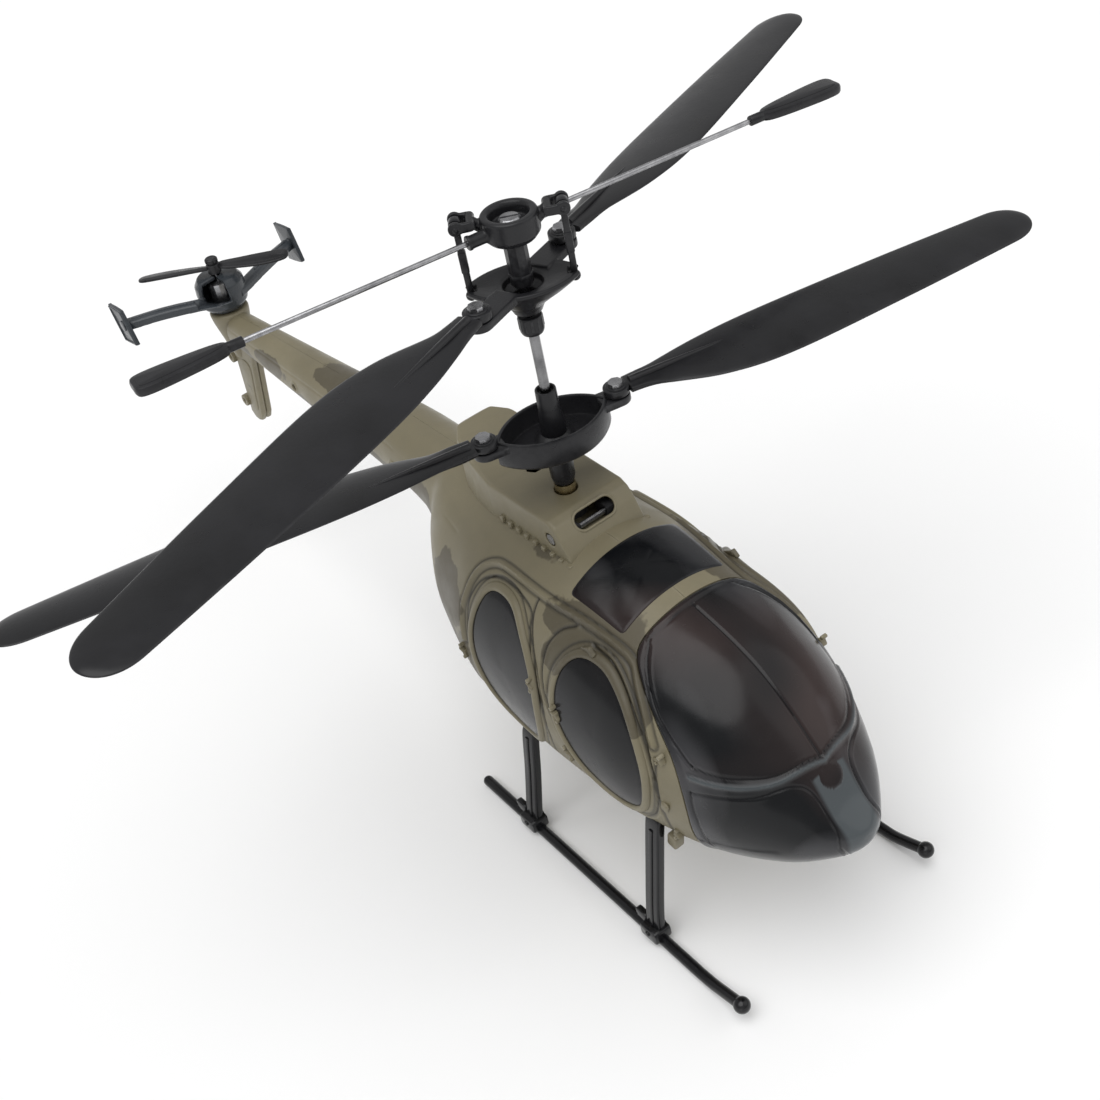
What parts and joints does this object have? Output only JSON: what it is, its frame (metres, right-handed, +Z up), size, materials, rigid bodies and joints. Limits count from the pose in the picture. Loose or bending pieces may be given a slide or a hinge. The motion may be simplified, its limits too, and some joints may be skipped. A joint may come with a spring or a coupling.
{
  "type": "toy helicopter",
  "caption": "Coaxial indoor toy helicopter with a rounded cabin, black windows, slim tail boom, stabiliser bar, swept tail planes and skid landing gear.",
  "frame": {"origin": "on the ground under the skids, at the middle of the bounding box seen from above", "axes": "+Z up, -Y towards the nose, +X towards the port (left) side"},
  "size_m": [0.2128, 0.245, 0.143],
  "materials": {
    "body_shell": "satin moulded plastic, olive tan with soft darker patches",
    "canopy_black": "high-gloss black, as tinted glazing",
    "lamp_lens": "clear moulded lens",
    "steel": "turned and plated",
    "brass": "turned",
    "frame_black": "fine satin",
    "battery_foil": "crinkled foil pouch",
    "board_green": "solder mask",
    "gear_nylon": "unpainted nylon",
    "rotor_black": "satin, lightly worn",
    "blade_black": "satin, thin moulding",
    "landing_gear_black": "gloss",
    "tail_grey": "semi-gloss blue-grey",
    "lead_red": "flexible insulation"
  },
  "bodies": {
    "airframe": {"fuselage_right_half": "body_shell", "fuselage_left_half": "body_shell", "canopy": "canopy_black", "nose_lamp": "lamp_lens", "front_door_window_right": "canopy_black", "front_door_window_left": "canopy_black", "rear_door_window_right": "canopy_black", "rear_door_window_left": "canopy_black", "roof_window": "canopy_black", "boom_screw_front": "steel", "boom_screw_rear": "steel", "engine_cowling": "body_shell", "cowling_screw_right": "steel", "cowling_screw_left": "steel", "cowling_cross_pin": "steel", "main_frame": "frame_black", "mast_bushing": "brass", "rear_motor": "steel", "front_motor": "steel", "battery": "battery_foil", "circuit_board": "board_green", "switch_housing": "frame_black", "charge_socket": "frame_black", "front_landing_strut": "landing_gear_black", "rear_landing_strut": "landing_gear_black", "skid_right": "landing_gear_black", "skid_left": "landing_gear_black", "tail_stabiliser": "tail_grey", "end_plate_right": "tail_grey", "end_plate_left": "tail_grey", "tail_motor": "steel", "tail_motor_lead": "lead_red"},
    "lower_rotor": {"outer_shaft": "steel", "outer_shaft_gear": "gear_nylon", "lower_hub": "rotor_black", "lower_blade_screw_a": "steel", "lower_blade_screw_b": "steel"},
    "lower_blade_a": {"lower_blade_a": "blade_black"},
    "lower_blade_b": {"lower_blade_b": "blade_black"},
    "upper_rotor": {"inner_shaft": "steel", "inner_shaft_gear": "gear_nylon", "upper_collar": "rotor_black", "rotor_neck": "rotor_black", "rotor_cap_screw": "steel"},
    "upper_hub": {"upper_hub": "rotor_black", "upper_blade_screw_a": "steel", "upper_blade_screw_b": "steel"},
    "upper_blade_a": {"upper_blade_a": "blade_black"},
    "upper_blade_b": {"upper_blade_b": "blade_black"},
    "flybar": {"flybar_carrier": "rotor_black", "flybar_rod_a": "steel", "flybar_rod_b": "steel", "flybar_weight_a": "rotor_black", "flybar_weight_b": "rotor_black"},
    "link_a": {"link_a": "rotor_black"},
    "link_b": {"link_b": "rotor_black"},
    "rear_pinion": {"rear_pinion": "brass"},
    "front_pinion": {"front_pinion": "brass"},
    "tail_rotor": {"tail_rotor": "rotor_black"},
    "power_switch": {"power_switch": "frame_black"}
  },
  "joints": [
    {"name": "lower_rotor_spin", "type": "hinge", "parent": "airframe", "child": "lower_rotor", "pos_m": [0, -0.04435, 0.08086], "axis": [0, 0, 1], "continuous": true},
    {"name": "upper_rotor_spin", "type": "hinge", "parent": "airframe", "child": "upper_rotor", "pos_m": [0, -0.04435, 0.08086], "axis": [0, 0, 1], "continuous": true},
    {"name": "rear_pinion_spin", "type": "hinge", "parent": "airframe", "child": "rear_pinion", "pos_m": [0, -0.0272, 0.06336], "axis": [0, 0, 1], "continuous": true},
    {"name": "front_pinion_spin", "type": "hinge", "parent": "airframe", "child": "front_pinion", "pos_m": [0, -0.0615, 0.03786], "axis": [0, 0, 1], "continuous": true},
    {"name": "lower_blade_a_fold", "type": "hinge", "parent": "lower_rotor", "child": "lower_blade_a", "pos_m": [0.01364, -0.0475, 0.09806], "axis": [0, 0, 1], "range_deg": [-80, 80]},
    {"name": "lower_blade_b_fold", "type": "hinge", "parent": "lower_rotor", "child": "lower_blade_b", "pos_m": [-0.01364, -0.0412, 0.09806], "axis": [0, 0, 1], "range_deg": [-80, 80]},
    {"name": "upper_blade_a_fold", "type": "hinge", "parent": "upper_hub", "child": "upper_blade_a", "pos_m": [-0.01316, -0.04914, 0.12926], "axis": [0, 0, 1], "range_deg": [-80, 80]},
    {"name": "upper_blade_b_fold", "type": "hinge", "parent": "upper_hub", "child": "upper_blade_b", "pos_m": [0.01316, -0.03956, 0.12926], "axis": [0, 0, 1], "range_deg": [-80, 80]},
    {"name": "upper_hub_teeter", "type": "hinge", "parent": "upper_rotor", "child": "upper_hub", "pos_m": [0, -0.04435, 0.12486], "axis": [-0.5446, -0.8387, 0], "range_deg": [-12, 12]},
    {"name": "flybar_teeter", "type": "hinge", "parent": "upper_rotor", "child": "flybar", "pos_m": [0, -0.04435, 0.13946], "axis": [-0.5446, -0.8387, 0], "range_deg": [-12, 12]},
    {"name": "link_a_swing", "type": "hinge", "parent": "flybar", "child": "link_a", "pos_m": [-0.00788, -0.03923, 0.14166], "axis": [-0.5446, -0.8387, 0], "range_deg": [-12, 12]},
    {"name": "link_b_swing", "type": "hinge", "parent": "flybar", "child": "link_b", "pos_m": [0.00788, -0.04947, 0.14166], "axis": [-0.5446, -0.8387, 0], "range_deg": [-12, 12]},
    {"name": "tail_rotor_spin", "type": "hinge", "parent": "airframe", "child": "tail_rotor", "pos_m": [0, 0.10885, 0.07886], "axis": [0, 0, 1], "continuous": true},
    {"name": "power_switch_slide", "type": "slide", "parent": "airframe", "child": "power_switch", "axis": [0, 1, 0], "range_m": [0, 0.003]}
  ],
  "couplings": [
    {"joint": "rear_pinion_spin", "follows": "lower_rotor_spin", "ratio": -5},
    {"joint": "front_pinion_spin", "follows": "upper_rotor_spin", "ratio": -5},
    {"joint": "flybar_teeter", "follows": "upper_hub_teeter", "ratio": 1},
    {"joint": "link_a_swing", "follows": "upper_hub_teeter", "ratio": -1},
    {"joint": "link_b_swing", "follows": "upper_hub_teeter", "ratio": -1}
  ]
}
